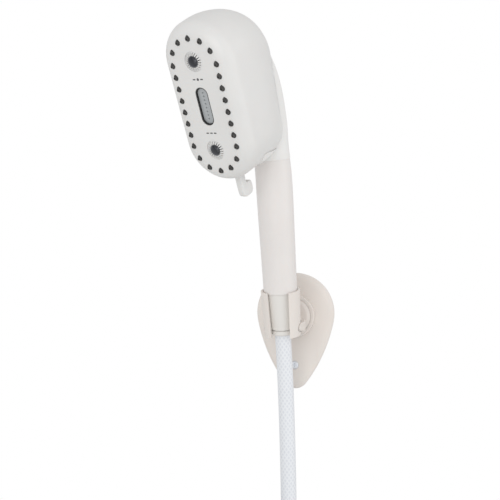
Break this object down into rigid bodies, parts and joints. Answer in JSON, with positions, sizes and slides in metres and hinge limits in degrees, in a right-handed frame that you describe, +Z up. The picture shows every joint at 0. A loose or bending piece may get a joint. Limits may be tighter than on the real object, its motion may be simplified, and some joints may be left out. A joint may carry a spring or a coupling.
{
  "type": "handheld shower head",
  "caption": "White handheld shower head with a pill-shaped spray face and mode lever, resting in a swivelling wall cradle, with its hose coiled below.",
  "frame": {"origin": "on the wall plane, at the middle of the back of the bracket's round boss", "axes": "+X to the right along the wall seen from the room, +Y into the wall, +Z up"},
  "size_m": [0.1846, 0.2215, 0.5969],
  "materials": {
    "bracket_plastic": "satin warm white",
    "white_abs": "satin white",
    "white_nut": "satin white",
    "nozzle_rubber": "matte dark grey silicone",
    "black_rubber": "matte black",
    "insert_grey": "satin grey",
    "inner_plastic": "moulded, unpainted",
    "limiter_green": "moulded",
    "screw_steel": "zinc bright",
    "barb_brass": "turned",
    "hose_skin": "white sleeve with a fine diagonal braid"
  },
  "bodies": {
    "bracket": {"base_plate": "bracket_plastic", "base_screws": "screw_steel", "swivel_screw": "screw_steel"},
    "swivel": {"swivel_yoke": "bracket_plastic", "cradle_pins": "bracket_plastic"},
    "cup": {"cradle": "bracket_plastic"},
    "handset": {"head_shell": "white_abs", "handle_shell": "white_abs", "nozzle_mat": "nozzle_rubber", "upper_crown": "white_abs", "lower_crown": "white_abs", "upper_swirler": "nozzle_rubber", "lower_swirler": "nozzle_rubber", "mist_insert": "insert_grey", "mist_seal": "black_rubber", "manifold_plate": "inner_plastic", "manifold_screws": "screw_steel", "diverter_body": "inner_plastic", "diverter_seal": "nozzle_rubber", "diverter_cover": "inner_plastic", "cover_screws": "screw_steel", "lever_seal": "nozzle_rubber", "water_elbow": "inner_plastic", "water_tube": "inner_plastic", "tube_seals": "nozzle_rubber", "inlet_fitting": "inner_plastic", "flow_restrictor": "limiter_green", "screen_washer": "black_rubber", "hose_nut": "white_nut", "hose_barb": "barb_brass", "hose_ferrule": "white_nut", "hose": "hose_skin", "hose_coil": "hose_skin", "coil_ties": "black_rubber", "hose_tail": "hose_skin", "tail_ferrule": "white_nut", "tail_barb": "barb_brass", "tail_washer": "black_rubber"},
    "selector": {"selector_lever": "white_abs", "diverter_disc": "inner_plastic"},
    "end_nut": {"tail_nut": "white_nut"}
  },
  "joints": [
    {"name": "bracket_swivel", "type": "hinge", "parent": "bracket", "child": "swivel", "pos_m": [0, 0, 0], "axis": [0, 1, 0], "range_deg": [-30, 30]},
    {"name": "cup_tilt", "type": "hinge", "parent": "swivel", "child": "cup", "pos_m": [0, -0.04369, -0.00738], "axis": [1, 0, 0], "range_deg": [-10, 14]},
    {"name": "handset_lift", "type": "slide", "parent": "cup", "child": "handset", "axis": [0, -0.2011, 0.9796], "range_m": [0, 0.045]},
    {"name": "mode_lever", "type": "hinge", "parent": "handset", "child": "selector", "pos_m": [-0.01666, -0.13035, 0.15357], "axis": [0.2902, 0.8398, 0.4589], "range_deg": [-20, 20]},
    {"name": "tail_nut_turn", "type": "hinge", "parent": "handset", "child": "end_nut", "pos_m": [0, -0.0626, -0.33], "axis": [0, 0, 1], "continuous": true}
  ]
}
